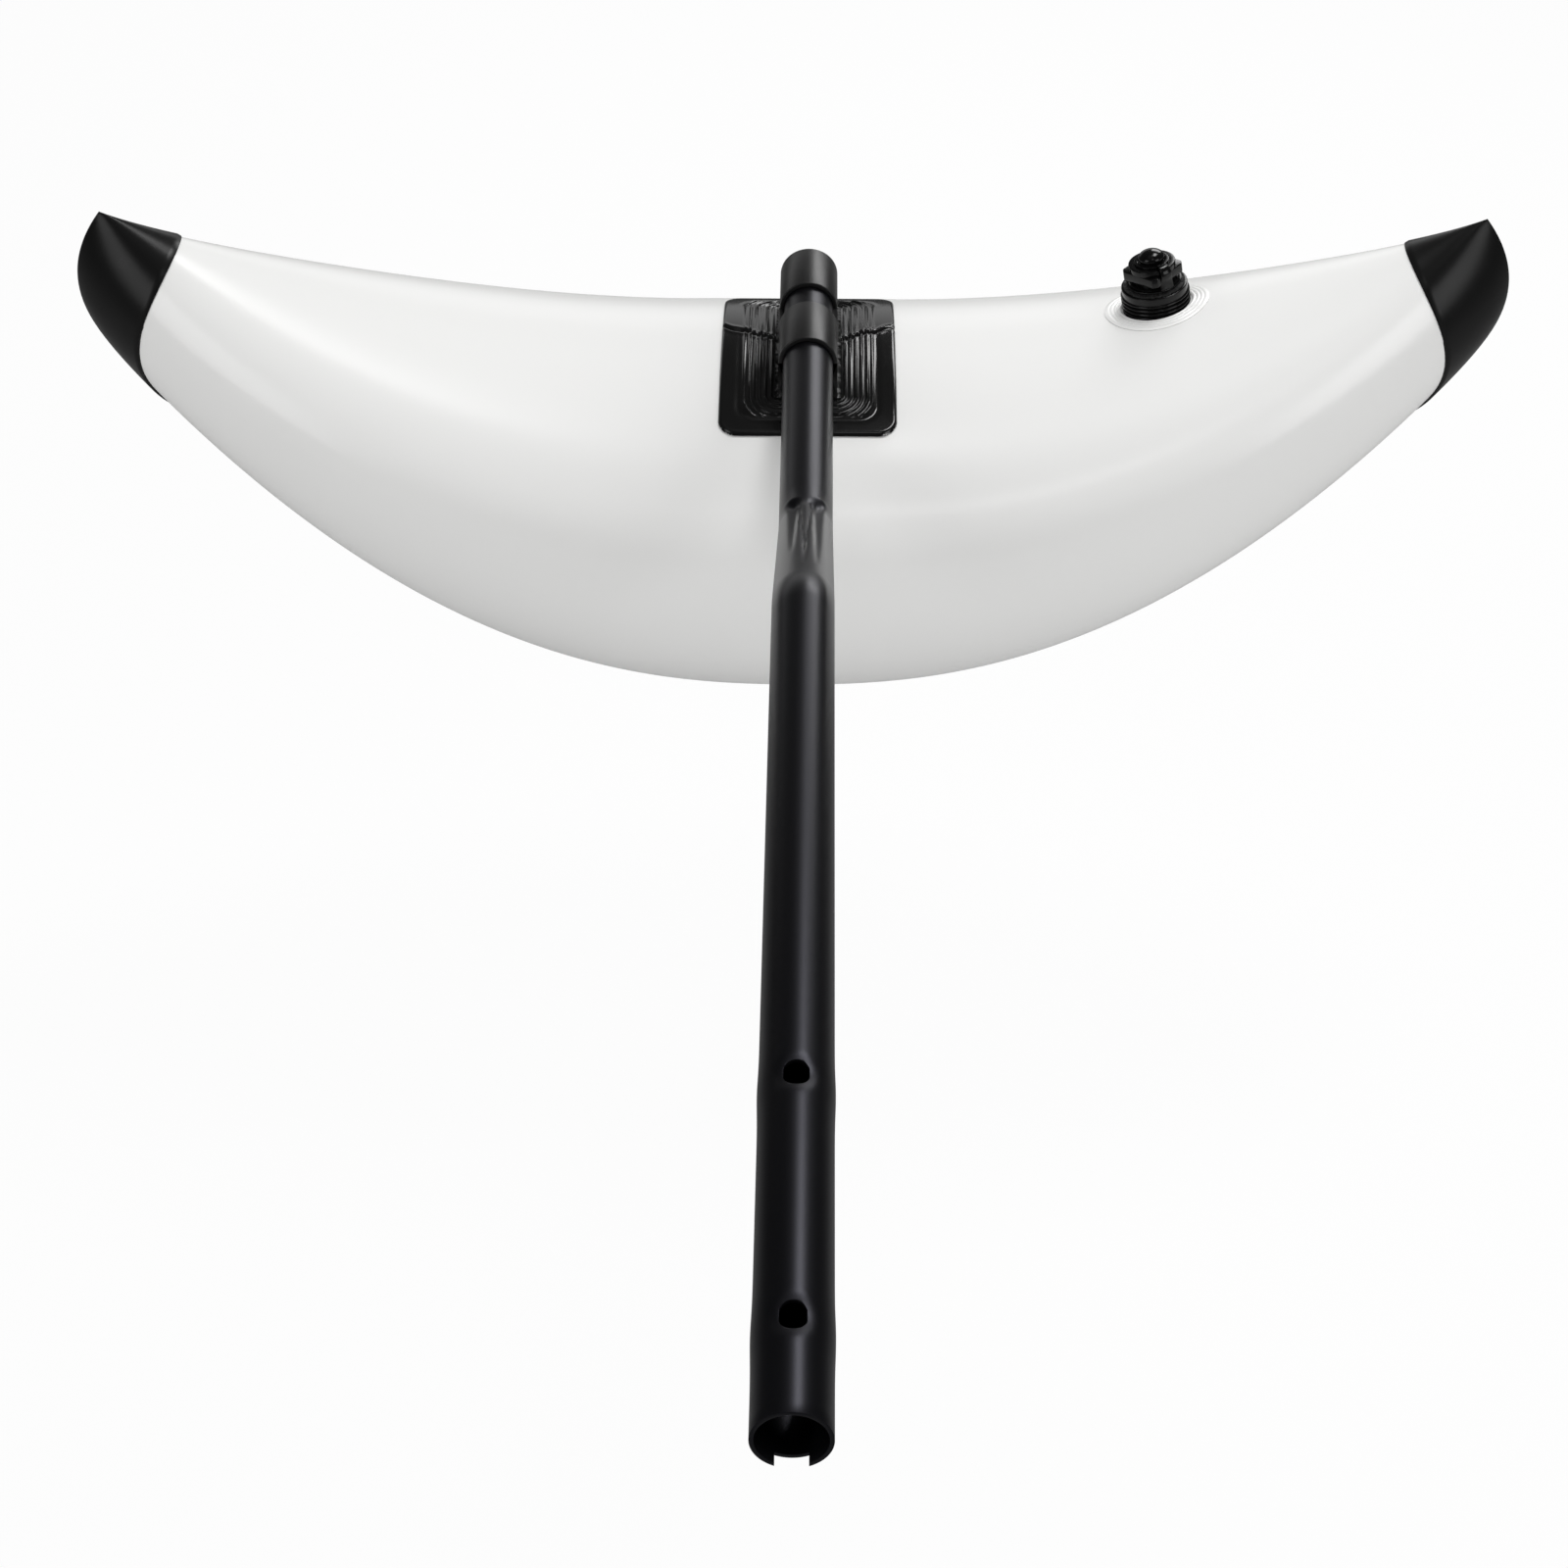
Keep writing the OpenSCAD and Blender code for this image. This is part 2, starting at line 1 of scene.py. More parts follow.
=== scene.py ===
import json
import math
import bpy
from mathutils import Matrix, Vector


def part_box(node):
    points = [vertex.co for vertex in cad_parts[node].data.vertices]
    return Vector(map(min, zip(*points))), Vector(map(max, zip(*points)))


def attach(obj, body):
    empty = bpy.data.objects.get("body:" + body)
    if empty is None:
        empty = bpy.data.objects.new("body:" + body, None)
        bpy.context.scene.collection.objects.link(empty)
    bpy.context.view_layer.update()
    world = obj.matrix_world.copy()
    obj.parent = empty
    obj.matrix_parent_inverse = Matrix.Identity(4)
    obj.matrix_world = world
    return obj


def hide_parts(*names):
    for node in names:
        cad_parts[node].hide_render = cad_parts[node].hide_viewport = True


bl_info = {
    "name": "Kayak Outrigger",
    "version": (1, 0, 0),
    "blender": (4, 5, 0),
    "location": "View3D > Sidebar > Outrigger",
    "description": "Models an inflated kayak outrigger float with its cranked arm, sleeve and air valve",
    "category": "Add Mesh",
}

import bmesh
import bpy
from mathutils import Matrix, Vector

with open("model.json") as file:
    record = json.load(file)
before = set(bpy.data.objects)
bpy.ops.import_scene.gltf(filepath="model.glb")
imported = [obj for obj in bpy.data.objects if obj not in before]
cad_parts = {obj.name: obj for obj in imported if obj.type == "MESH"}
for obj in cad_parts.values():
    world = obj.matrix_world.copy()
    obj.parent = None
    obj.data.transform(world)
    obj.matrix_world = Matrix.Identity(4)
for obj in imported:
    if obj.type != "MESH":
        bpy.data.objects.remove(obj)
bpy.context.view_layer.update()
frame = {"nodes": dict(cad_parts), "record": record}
NODES = frame["nodes"]
ARM_LO, ARM_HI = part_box("arm_tube")
DECK_LO, DECK_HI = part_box("deck_panel")


def length(name, description, default):
    return bpy.props.FloatProperty(name=name, description=description, default=default, unit="LENGTH")


def angle(name, description, default):
    return bpy.props.FloatProperty(name=name, description=description, default=default, subtype="ANGLE")


def colour(name, description, default):
    return bpy.props.FloatVectorProperty(
        name=name, description=description, default=default, size=3, min=0, max=1, subtype="COLOR"
    )


class OutriggerArm(bpy.types.PropertyGroup):
    """Sizes of the arm tube."""

    tube_r: length("Tube radius", "Outside radius of the arm tube", 0.016)
    wall: length("Tube wall", "Wall of the arm tube", 0.0018)
    run_out: length("Outer run", "From the open end to the first bend's corner", 0.537)
    slope_run: length("Slope run", "Length of the sloping run along Y", 0.235)
    drop: length("Drop", "Drop of the inner run below the outer run", 0.11)
    bend_r: length("Bend radius", "Radius of both bends", 0.06)
    slot_width: length("Slot width", "Width of a button slot", 0.011)
    slot_length: length("Slot length", "Length of a button slot", 0.0145)
    first_slot: length("First slot", "From the open end to the first button slot", 0.048)
    slot_pitch: length("Slot pitch", "Distance between the button slots", 0.132)
    dimple: length("Dimple", "Depth of the pressed dimple round a slot", 0.0013)
    notch_width: length("Notch width", "Width of the locating notch", 0.013)
    notch_length: length("Notch length", "Depth of the locating notch along the tube", 0.005)


class OutriggerFloat(bpy.types.PropertyGroup):
    """Sizes of the inflated float and its end caps."""

    middle_x: length("Offset", "Distance of the float's middle from the arm's line", -0.011)
    middle_y: length("Middle", "Distance of the float's middle line from the open end", 1.023)
    deck_z: length("Deck height", "Height of the deck at the middle", -0.1327)
    deck_length: length("Deck length", "Length of the deck line", 0.886)
    keel_length: length("Keel length", "Length of the keel line", 0.836)
    width: length("Width", "Width of the float at the middle", 0.306)
    depth: length("Depth", "Depth of the float at the middle", 0.239)
    deck_rise: length("Deck rise", "Rise of the deck from the middle to the tips", 0.096)
    keel_rise: length("Keel rise", "Rise of the keel from the middle to the tips", 0.208)
    stem_bulge: length("Stem bulge", "Forward bulge of each stem", 0.032)
    flat_length: length("Flat deck", "Length of the straight deck under the pad", 0.142)
    cap_length: length("Cap length", "Length of each end cap along the deck", 0.048)
    cap_wall: length("Cap thickness", "Thickness of the end caps", 0.0012)


class OutriggerMount(bpy.types.PropertyGroup):
    """Sizes of the welded pad and of the sleeve that it carries."""

    pad_width: length("Pad width", "Width of the pad along the float", 0.115)
    pad_length: length("Pad length", "Length of the pad along the arm", 0.175)
    pad_thickness: length("Pad thickness", "Thickness of the pad", 0.0022)
    pad_corner: length("Pad corner", "Corner radius of the pad", 0.012)
    ridge_pitch: length("Ridge pitch", "Distance from one nested ridge to the next", 0.0037)
    ridge_height: length("Ridge height", "Height of a ridge", 0.0016)
    bore_r: length("Sleeve bore", "Radius of the sleeve's bore", 0.0161)
    sleeve_r: length("Sleeve radius", "Outside radius of the sleeve", 0.019)
    sleeve_length: length("Sleeve length", "Length of the sleeve", 0.118)
    window: length("Window", "Length of the open window between the bands", 0.024)


class OutriggerValve(bpy.types.PropertyGroup):
    """Sizes of the air valve, measured up its own axis from the deck."""

    place: bpy.props.FloatVectorProperty(
        name="Place", description="Where the valve's axis meets the deck", default=(0.23, 1.047, -0.111992),
        size=3, subtype="TRANSLATION", unit="LENGTH"
    )
    lean: angle("Lean", "Lean towards the middle of the float", math.radians(10))
    boot_r: length("Boot radius", "Radius of the boot at its foot", 0.0227)
    boot_height: length("Boot height", "Height of the boot above the deck", 0.016)
    barrel_r: length("Barrel radius", "Radius of the insert's barrel", 0.014)
    grip_width: length("Grip width", "Width across the flats of the insert's grip", 0.03)
    patch_r: length("Patch radius", "Radius of the welded patch round the valve", 0.0345)


class OutriggerFinish(bpy.types.PropertyGroup):
    """Colours of the outrigger's materials."""

    skin: colour("Float skin", "White coated fabric", (0.86, 0.86, 0.86))
    trim: colour("Welded trim", "Black coated fabric of the caps, pad and sleeve", (0.006, 0.006, 0.006))
    sleeve: colour("Sleeve", "Black moulded sleeve and its saddle", (0.008, 0.008, 0.008))
    coat: colour("Arm coat", "Gloss black coat of the arm tube", (0.044, 0.044, 0.044))
    moulding: colour("Valve moulding", "Black plastic of the valve", (0.003, 0.003, 0.003))
    seal: colour("Seals", "Soft rubber of the seals", (0.02, 0.02, 0.02))


class OutriggerStage(bpy.types.PropertyGroup):
    """Camera, floor and lamps."""

    lens: bpy.props.FloatProperty(name="Lens", description="Focal length for a 36 mm sensor", default=69.75)
    camera_height: length("Camera height", "Height of the camera above the outer run", 0.884)
    camera_back: length("Camera distance", "Distance of the camera before the open end", 0.7288)
    camera_side: length("Camera side", "Distance of the camera to the right of the arm's line", 0.0076)
    pitch: angle("Camera pitch", "Tilt of the camera from straight down", math.radians(51.7))
    turn: angle("Camera turn", "Turn of the camera to the left", 0.0113)
    floor_depth: length("Floor depth", "Depth of the floor below the arm's inner run, clear of the turning float", 0.5)
    floor: colour("Floor", "Colour of the floor and backdrop", (0.8, 0.8, 0.8))


def deselect():
    if bpy.context.object and bpy.context.object.mode != "OBJECT":
        bpy.ops.object.mode_set(mode="OBJECT")
    bpy.ops.object.select_all(action="DESELECT")


def pick(piece):
    deselect()
    piece.select_set(True)
    bpy.context.view_layer.objects.active = piece
    return piece


def settle(piece):
    """Puts a piece's place into its mesh, so that its object sits at the origin."""
    pick(piece)
    bpy.ops.object.transform_apply(location=True, rotation=True, scale=True)
    return piece


def node(tree, kind, **values):
    made = tree.nodes.new(kind)
    for name, value in values.items():
        if name.startswith("in_"):
            made.inputs[name[3:].replace("_", " ")].default_value = value
        else:
            setattr(made, name, value)
    return made


def fresh_material(name, tint, roughness, specular=0.5, coat=0.0, coat_roughness=0.05):
    made = bpy.data.materials.new(name)
    made.use_nodes = True
    made.diffuse_color = (*tint, 1)
    shader = made.node_tree.nodes["Principled BSDF"]
    shader.inputs["Base Color"].default_value = (*tint, 1)
    shader.inputs["Roughness"].default_value = roughness
    shader.inputs["Specular IOR Level"].default_value = specular
    shader.inputs["Coat Weight"].default_value = coat
    shader.inputs["Coat Roughness"].default_value = coat_roughness
    return made


def object_place(tree):
    return tree.nodes.new("ShaderNodeTexCoord").outputs["Object"]


def add_bump(made, texture, strength, distance):
    tree = made.node_tree
    bump = node(tree, "ShaderNodeBump", in_Strength=strength, in_Distance=distance)
    tree.links.new(texture, bump.inputs["Height"])
    tree.links.new(bump.outputs["Normal"], tree.nodes["Principled BSDF"].inputs["Normal"])


def vary_roughness(made, texture, low, high):
    tree = made.node_tree
    spread = node(tree, "ShaderNodeMapRange", in_To_Min=low, in_To_Max=high)
    tree.links.new(texture, spread.inputs["Value"])
    tree.links.new(spread.outputs["Result"], tree.nodes["Principled BSDF"].inputs["Roughness"])


def noise(tree, scale, detail=3.0):
    made = node(tree, "ShaderNodeTexNoise", in_Scale=scale, in_Detail=detail)
    tree.links.new(object_place(tree), made.inputs["Vector"])
    return made.outputs["Fac"]


def skin_material(tint):
    made = fresh_material("float_skin", tint, 0.42, specular=0.4)
    tree = made.node_tree
    vary_roughness(made, noise(tree, 9.0), 0.36, 0.48)
    add_bump(made, noise(tree, 900.0, 2.0), 0.05, 0.0002)
    return made


def trim_material(tint):
    made = fresh_material("welded_trim", tint, 0.3, specular=0.2)
    tree = made.node_tree
    vary_roughness(made, noise(tree, 40.0), 0.24, 0.36)
    add_bump(made, noise(tree, 700.0, 2.0), 0.08, 0.0002)
    return made


def sleeve_material(tint):
    made = fresh_material("sleeve_satin", tint, 0.38, specular=0.36)
    tree = made.node_tree
    vary_roughness(made, noise(tree, 60.0), 0.32, 0.42)
    add_bump(made, noise(tree, 900.0, 2.0), 0.05, 0.0001)
    return made


def pad_material(tint):
    """The pad's smooth heat-pressed face."""
    made = fresh_material("pad_gloss", tint, 0.14, specular=0.4)
    tree = made.node_tree
    vary_roughness(made, noise(tree, 35.0), 0.11, 0.19)
    add_bump(made, noise(tree, 160.0, 3.0), 0.06, 0.0004)
    return made


def coat_material(tint):
    """A gloss coat whose grazing reflections stay dark, as the edge tint of a metal gives them."""
    made = fresh_material("arm_coat", tint, 0.2, specular=0.05)
    tree = made.node_tree
    shader = tree.nodes["Principled BSDF"]
    shader.inputs["Specular Tint"].default_value = (0.14, 0.14, 0.14, 1)
    vary_roughness(made, noise(tree, 25.0), 0.14, 0.2)
    split = tree.nodes.new("ShaderNodeSeparateXYZ")
    tree.links.new(object_place(tree), split.inputs[0])
    rise = node(tree, "ShaderNodeMapRange", in_From_Min=0.525, in_From_Max=0.56)
    fall = node(tree, "ShaderNodeMapRange", in_From_Min=0.755, in_From_Max=0.79, in_To_Min=1.0, in_To_Max=0.0)
    both = node(tree, "ShaderNodeMath", operation="MULTIPLY")
    worn = node(tree, "ShaderNodeMath", operation="MULTIPLY_ADD")
    worn.inputs[1].default_value = 0.36
    for ramp in (rise, fall):
        tree.links.new(split.outputs["Y"], ramp.inputs["Value"])
    tree.links.new(rise.outputs["Result"], both.inputs[0])
    tree.links.new(fall.outputs["Result"], both.inputs[1])
    tree.links.new(both.outputs[0], worn.inputs[0])
    tree.links.new(shader.inputs["Roughness"].links[0].from_socket, worn.inputs[2])
    tree.links.new(worn.outputs[0], shader.inputs["Roughness"])
    metal = node(tree, "ShaderNodeMath", operation="MULTIPLY_ADD")
    metal.inputs[1].default_value = -0.78
    metal.inputs[2].default_value = 1.0
    tree.links.new(both.outputs[0], metal.inputs[0])
    tree.links.new(metal.outputs[0], shader.inputs["Metallic"])
    add_bump(made, noise(tree, 260.0, 2.0), 0.03, 0.0002)
    return made


def moulding_material(tint):
    made = fresh_material("valve_moulding", tint, 0.16, specular=0.26)
    tree = made.node_tree
    vary_roughness(made, noise(tree, 120.0), 0.12, 0.2)
    add_bump(made, noise(tree, 1500.0, 2.0), 0.06, 0.0001)
    return made


def seal_material(tint):
    made = fresh_material("soft_seal", tint, 0.6, specular=0.3)
    add_bump(made, noise(made.node_tree, 1200.0, 2.0), 0.1, 0.0001)
    return made


FINISH_OF_SLOT = {
    "arm_coat": "arm_coat",
    "float_skin": "float_skin",
    "black_trim": "welded_trim",
    "valve_black": "valve_moulding",
    "seal_rubber": "soft_seal",
}


def dress(piece, finish):
    piece.data.materials.clear()
    piece.data.materials.append(bpy.data.materials[finish])


def edit(piece, kind="EDGE"):
    """Opens a piece in edit mode with all of it selected."""
    pick(piece)
    bpy.ops.object.mode_set(mode="EDIT")
    bpy.ops.mesh.select_mode(type=kind)
    bpy.ops.mesh.select_all(action="SELECT")


def leave():
    bpy.ops.object.mode_set(mode="OBJECT")


def apply_modifier(piece, kind, **values):
    pick(piece)
    made = piece.modifiers.new(kind.lower(), kind)
    for name, value in values.items():
        setattr(made, name, value)
    bpy.ops.object.modifier_apply(modifier=made.name)


def weld(piece, distance=0.00001):
    edit(piece, "VERT")
    bpy.ops.mesh.remove_doubles(threshold=distance)
    bpy.ops.mesh.normals_make_consistent(inside=False)
    leave()


def close_rim(piece):
    """Fills the open rim of a sheet on its hidden side."""
    edit(piece)
    bpy.ops.mesh.select_all(action="DESELECT")
    bpy.ops.mesh.select_non_manifold()
    bpy.ops.mesh.mark_sharp()
    bpy.ops.mesh.edge_face_add()
    bpy.ops.mesh.select_all(action="SELECT")
    bpy.ops.mesh.normals_make_consistent(inside=False)
    leave()


def shade(piece, degrees=34):
    pick(piece)
    bpy.ops.object.shade_smooth_by_angle(angle=math.radians(degrees))


def seat(piece, name, body, finish, slot, *replaced):
    """Names a finished piece, gives it its material and lets it ride on its body."""
    piece.name = name
    piece.data.name = name
    dress(piece, finish)
    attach(piece, body)
    if replaced:
        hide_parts(*replaced)
    deselect()


def smooth_step(value):
    value = min(max(value, 0.0), 1.0)
    return value * value * (3 - 2 * value)


def hump(value, width):
    return math.exp(-((value / width) ** 2))


def turned(profile, sides=64):
    """Turns a profile of (radius, height) points round Z: a circle is extruded and resized up it."""
    deselect()
    radius, height = profile[0]
    bpy.ops.mesh.primitive_circle_add(vertices=sides, radius=radius, fill_type="NOTHING", location=(0, 0, height))
    piece = settle(bpy.context.object)
    edit(piece)
    for wide, high in profile[1:]:
        bpy.ops.mesh.extrude_region_move(TRANSFORM_OT_translate={"value": (0, 0, high - height)})
        share = wide / radius
        bpy.ops.transform.resize(value=(share, share, 1), center_override=(0, 0, high))
        radius, height = wide, high
    leave()
    return piece


def fillet(corner, before, after, radius, steps=4):
    """Points of a rounded corner of a profile, between the two points beside it."""
    corner, before, after = Vector(corner), Vector(before), Vector(after)
    start = corner + (before - corner).normalized() * radius
    end = corner + (after - corner).normalized() * radius
    points = []
    for i in range(steps + 1):
        t = i / steps
        points.append(tuple(start.lerp(corner, t).lerp(corner.lerp(end, t), t)))
    return points


def rounded(profile, radii):
    """A profile whose corners are rounded by the radius given for each, where 0 leaves one sharp."""
    points = []
    for i, corner in enumerate(profile):
        if radii[i]:
            points += fillet(corner, profile[i - 1], profile[(i + 1) % len(profile)], radii[i])
        else:
            points.append(corner)
    return points


class OUTRIGGER_OT_arm(bpy.types.Operator):
    """Makes the cranked arm: a ring extruded along the runs and spun round the bends."""

    bl_idname = "outrigger.arm"
    bl_label = "Arm"

    def slide(self, direction, distances):
        for distance in distances:
            bpy.ops.mesh.extrude_region_move(TRANSFORM_OT_translate={"value": direction * distance})

    def turn(self, centre, bend):
        bpy.ops.mesh.spin(steps=14, angle=bend, center=centre, axis=(1, 0, 0))

    def execute(self, context):
        arm = context.scene.outrigger_arm
        slope = math.atan2(arm.drop, arm.slope_run)
        inset = arm.bend_r * math.tan(slope / 2)
        slope_length = math.hypot(arm.drop, arm.slope_run)
        second = arm.run_out + arm.slope_run
        down = Vector((0, math.cos(slope), -math.sin(slope)))
        ahead = Vector((0, 1, 0))
        slots = [arm.first_slot, arm.first_slot + arm.slot_pitch]

        deselect()
        bpy.ops.mesh.primitive_circle_add(
            vertices=96, radius=arm.tube_r, fill_type="NOTHING", rotation=(math.pi / 2, 0, 0)
        )
        tube = settle(context.object)
        edit(tube)
        stops = [0.0]
        while stops[-1] < arm.run_out - inset - 0.012:
            near = min(abs(stops[-1] - middle) for middle in slots)
            stops.append(stops[-1] + (0.0015 if near < 0.019 else 0.006))
        stops.append(arm.run_out - inset)
        self.slide(ahead, [b - a for a, b in zip(stops, stops[1:])])
        self.turn((0, arm.run_out - inset, -arm.bend_r), slope)
        steps = round((slope_length - 2 * inset) / 0.002)
        self.slide(down, [(slope_length - 2 * inset) / steps] * steps)
        self.turn((0, second + inset, arm.bend_r - arm.drop), -slope)
        last = ARM_HI.y - second - inset
        self.slide(ahead, [last / 24] * 24)
        leave()
        weld(tube)
        self.press_dimples(tube, arm, slots)
        self.press_flutes(tube, arm, second, slope)
        apply_modifier(tube, "SOLIDIFY", thickness=arm.wall, offset=-1)
        self.cut_openings(tube, arm, slots)
        apply_modifier(tube, "BEVEL", width=0.00025, segments=2, limit_method="ANGLE", angle_limit=math.radians(55))
        shade(tube, 40)
        seat(tube, "arm_coated_tube", "arm", "arm_coat", "arm_coat", "arm_tube")
        return {"FINISHED"}

    def press_dimples(self, tube, arm, slots):
        """Sinks a shallow dish round each slot and swells the tube's sides beside it."""
        for vertex in tube.data.vertices:
            place = vertex.co
            if place.y > slots[-1] + 0.04:
                continue
            out = Vector((place.x, 0, place.z)) / arm.tube_r
            around = math.atan2(out.x, out.z) * arm.tube_r
            for middle in slots:
                along = place.y - middle
                reach = math.hypot(around / 0.0118, along / 0.0125)
                sunk = arm.dimple * smooth_step(1.25 * (1 - reach)) * (1 if out.z > 0 else 0)
                swell = 0.0005 * hump(along, 0.014) * hump(abs(around) - 0.0225, 0.007)
                vertex.co -= out * (sunk - swell)

    def press_flutes(self, tube, arm, second, slope):
        """Presses the creases of the second bend into the top of the slope."""
        for vertex in tube.data.vertices:
            place = vertex.co - Vector((0, second, -arm.drop))
            back = -(place.y * math.cos(slope) - place.z * math.sin(slope))
            if back < -0.03 or back > 0.25:
                continue
            rise = place.y * math.sin(slope) + place.z * math.cos(slope)
            around = math.atan2(place.x, rise) * arm.tube_r
            if rise < 0:
                continue
            sunk = 0.0
            for side, reach in ((-1, 0.17), (1, 0.21)):
                fade = 1 - (back - 0.008) / reach
                if 0 < fade and back > -0.004:
                    start = smooth_step((back + 0.004) / 0.008)
                    width = 0.0012 + 0.0022 * fade
                    sunk += 0.0024 * start * fade**0.8 * hump(around - side * 0.0072, width)
                line = side * 0.0034 * max(0.0, 1 - (back - 0.008) / 0.165)
                edge = smooth_step((back + 0.001) / 0.008) * (1 if back < 0.165 else max(0.0, 1 - (back - 0.165) / 0.06))
                sunk += (0.0011 if back < 0.165 else 0.0008) * edge * hump(around - line, 0.001)
                sunk -= 0.0006 * hump(back + 0.004, 0.0022) * hump(around - side * 0.0072, 0.0036)
            out = Vector((place.x, rise * math.sin(slope), rise * math.cos(slope))).normalized()
            vertex.co -= out * sunk

    def cut_openings(self, tube, arm, slots):
        for middle in slots:
            deselect()
            bpy.ops.mesh.primitive_cylinder_add(
                vertices=48, radius=arm.slot_width / 2, depth=0.03, location=(0, middle, arm.tube_r)
            )
            cutter = settle(bpy.context.object)
            spare = (arm.slot_length - arm.slot_width) / 2
            for vertex in cutter.data.vertices:
                vertex.co.y += spare if vertex.co.y > middle else -spare
            self.subtract(tube, cutter)
        deselect()
        bpy.ops.mesh.primitive_cube_add(size=1, location=(0, arm.notch_length / 2 - 0.005, -arm.tube_r))
        cutter = bpy.context.object
        cutter.scale = (arm.notch_width, arm.notch_length + 0.01, 0.02)
        self.subtract(tube, settle(cutter))

    def subtract(self, tube, cutter):
        apply_modifier(tube, "BOOLEAN", object=cutter, operation="DIFFERENCE", solver="EXACT")
        bpy.data.objects.remove(cutter, do_unlink=True)


class FloatForm:
    """The float's surface as a formula: s runs from tip to tip and t goes round the section."""

    deck_power = 1.86
    keel_power = 2.26
    plan_power = 2.47
    plan_round = 0.9
    deck_share = 0.34

    def __init__(self, sizes):
        self.sizes = sizes
        self.flat = sizes.flat_length / sizes.deck_length

    def deck(self, s):
        past = max(0.0, (abs(s) - self.flat) / (1 - self.flat))
        return self.sizes.deck_z - 0.0003 + self.sizes.deck_rise * past**self.deck_power

    def keel(self, s):
        sizes = self.sizes
        return sizes.deck_z - 0.0003 - sizes.depth + sizes.keel_rise * abs(s) ** self.keel_power

    def half(self, s):
        return self.sizes.width / 2 * max(0.0, 1 - abs(s) ** self.plan_power) ** self.plan_round

    def share(self, t):
        c = math.cos(t)
        return self.deck_share * (1 - c) if abs(t) <= math.pi / 2 else self.deck_share - (1 - self.deck_share) * c

    def point(self, s, t, out, stem=0.0015):
        sizes = self.sizes
        u = self.share(t)
        top = self.deck(s) + out
        foot = self.keel(s) - out
        half_deck, half_keel = sizes.deck_length / 2, sizes.keel_length / 2
        bulge = 4 * sizes.stem_bulge * abs(s) ** 3 * u * (1 - u)
        x = abs(s) * (half_deck + (half_keel - half_deck) * u) + bulge + out * abs(s) ** 12
        y = sizes.middle_y + math.sin(t) * (self.half(s) + stem + out)
        return Vector((sizes.middle_x + math.copysign(x, s), y, top + (foot - top) * u))

    def deck_height(self, x, y):
        """Height of the deck at a place in the row frame."""
        s = (x - self.sizes.middle_x) / (self.sizes.deck_length / 2)
        wide = self.half(s) + 0.0015
        across = min(abs(y - self.sizes.middle_y) / wide, 1.0)
        return self.deck(s) - (self.deck(s) - self.keel(s)) * self.deck_share * (1 - math.sqrt(1 - across * across))


class OUTRIGGER_OT_float(bpy.types.Operator):
    """Makes the inflated float: a sheet rolled into its section and drawn in to both stems."""

    bl_idname = "outrigger.float"
    bl_label = "Float"

    def execute(self, context):
        form = FloatForm(context.scene.outrigger_float)
        valve = context.scene.outrigger_valve
        deselect()
        bpy.ops.mesh.primitive_grid_add(x_subdivisions=220, y_subdivisions=128, size=2)
        skin = settle(context.object)
        for vertex in skin.data.vertices:
            s = math.sin(vertex.co.x * math.pi / 2)
            t = vertex.co.y * math.pi
            stem = 0.0002 + 0.0015 * (1 - abs(s) ** 30)
            vertex.co = form.point(s, t, -0.0002, stem)
            pull = Vector((vertex.co.x - valve.place[0], vertex.co.y - valve.place[1])).length
            if vertex.co.z > -0.16:
                vertex.co.z -= 0.0006 * hump(pull, 0.03)
        weld(skin, 0.00002)
        shade(skin, 60)
        seat(skin, "float_skin", "float", "float_skin", "float_skin", "deck_panel", "hull_panel")
        return {"FINISHED"}


class OUTRIGGER_OT_end_caps(bpy.types.Operator):
    """Makes the two welded end caps, whose free edges bow back along the float."""

    bl_idname = "outrigger.end_caps"
    bl_label = "End caps"

    def execute(self, context):
        sizes = context.scene.outrigger_float
        form = FloatForm(sizes)
        first = 1 - sizes.cap_length / (sizes.deck_length / 2)
        heel = 0.962
        for side, name in ((-1, "left"), (1, "right")):
            deselect()
            bpy.ops.mesh.primitive_grid_add(x_subdivisions=40, y_subdivisions=128, size=2)
            cap = settle(context.object)
            for vertex in cap.data.vertices:
                t = vertex.co.y * math.pi
                edge = first + (heel - first) * form.share(t)
                reach = math.sin((vertex.co.x + 1) * math.pi / 4)
                s = edge + (1 - edge) * reach
                lift = 0.0003 + sizes.cap_wall * smooth_step((s - edge) * 300 + 0.3)
                vertex.co = form.point(side * s, t, lift, 0.0015 * (1 - s**60) - lift * s**60)
            weld(cap, 0.00002)
            close_rim(cap)
            shade(cap, 50)
            seat(cap, f"end_cap_{name}_moulded", "float", "welded_trim", "black_trim", f"end_cap_{name}")
        return {"FINISHED"}


